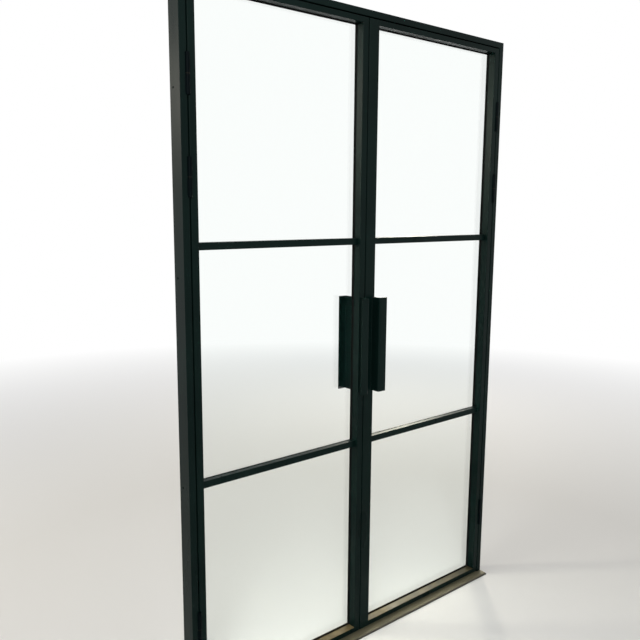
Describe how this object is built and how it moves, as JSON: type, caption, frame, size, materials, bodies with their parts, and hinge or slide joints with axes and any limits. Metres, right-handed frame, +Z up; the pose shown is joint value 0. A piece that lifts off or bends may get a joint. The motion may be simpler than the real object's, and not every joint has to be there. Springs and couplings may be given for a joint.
{
  "type": "glass fire door",
  "caption": "Glazed fire door: slim black steel leaves in a steel frame, clear panes with flat bars, folded-plate pull handles, barrel hinges and a low threshold strip.",
  "frame": {"origin": "on the floor, in the middle of the width and of the leaves' thickness", "axes": "+X along the width, +Y towards the side that the leaves open away from, +Z up"},
  "size_m": [1.345, 0.12, 2.1],
  "materials": {
    "black_steel": "satin black powder coat",
    "handle_black": "satin black powder coat",
    "hinge_black": "dull black paint",
    "clear_glass": "clear fire glass",
    "black_rubber": "black rubber",
    "fire_strip": "graphite strip",
    "pin_steel": "bright steel",
    "washer_brass": "darkened brass",
    "block_plastic": "black plastic",
    "threshold_metal": "dull, worn metal"
  },
  "bodies": {
    "fixed_frame": {"frame": "black_steel", "frame_fire_strip_head": "fire_strip", "frame_fire_strip_left": "fire_strip", "frame_fire_strip_right": "fire_strip", "frame_seal_head": "black_rubber", "frame_seal_left": "black_rubber", "frame_seal_right": "black_rubber", "hinge_left_frame_knuckles": "hinge_black", "hinge_left_pins": "pin_steel", "hinge_left_washers": "washer_brass", "hinge_right_frame_knuckles": "hinge_black", "hinge_right_pins": "pin_steel", "hinge_right_washers": "washer_brass", "threshold": "threshold_metal"},
    "left_leaf": {"hinge_left_leaf_knuckles": "hinge_black", "leaf_left_bar_back_1": "black_steel", "leaf_left_bar_back_2": "black_steel", "leaf_left_bar_front_1": "black_steel", "leaf_left_bar_front_2": "black_steel", "leaf_left_bead": "black_steel", "leaf_left_bottom_seal": "black_rubber", "leaf_left_fire_strip": "fire_strip", "leaf_left_frame": "black_steel", "leaf_left_gasket_back": "black_rubber", "leaf_left_gasket_front": "black_rubber", "leaf_left_handle_back": "handle_black", "leaf_left_handle_front": "handle_black", "leaf_left_pane": "clear_glass", "leaf_left_setting_blocks": "block_plastic"},
    "right_leaf": {"hinge_right_leaf_knuckles": "hinge_black", "leaf_right_bar_back_1": "black_steel", "leaf_right_bar_back_2": "black_steel", "leaf_right_bar_front_1": "black_steel", "leaf_right_bar_front_2": "black_steel", "leaf_right_bead": "black_steel", "leaf_right_bottom_seal": "black_rubber", "leaf_right_fire_strip": "fire_strip", "leaf_right_frame": "black_steel", "leaf_right_gasket_back": "black_rubber", "leaf_right_gasket_front": "black_rubber", "leaf_right_handle_back": "handle_black", "leaf_right_handle_front": "handle_black", "leaf_right_pane": "clear_glass", "leaf_right_setting_blocks": "block_plastic"}
  },
  "joints": [
    {"name": "left_leaf_swing", "type": "hinge", "parent": "fixed_frame", "child": "left_leaf", "pos_m": [-0.6495, -0.022, 1], "axis": [0, 0, -1], "range_deg": [0, 150]},
    {"name": "right_leaf_swing", "type": "hinge", "parent": "fixed_frame", "child": "right_leaf", "pos_m": [0.6495, -0.022, 1], "axis": [0, 0, 1], "range_deg": [0, 150]}
  ]
}
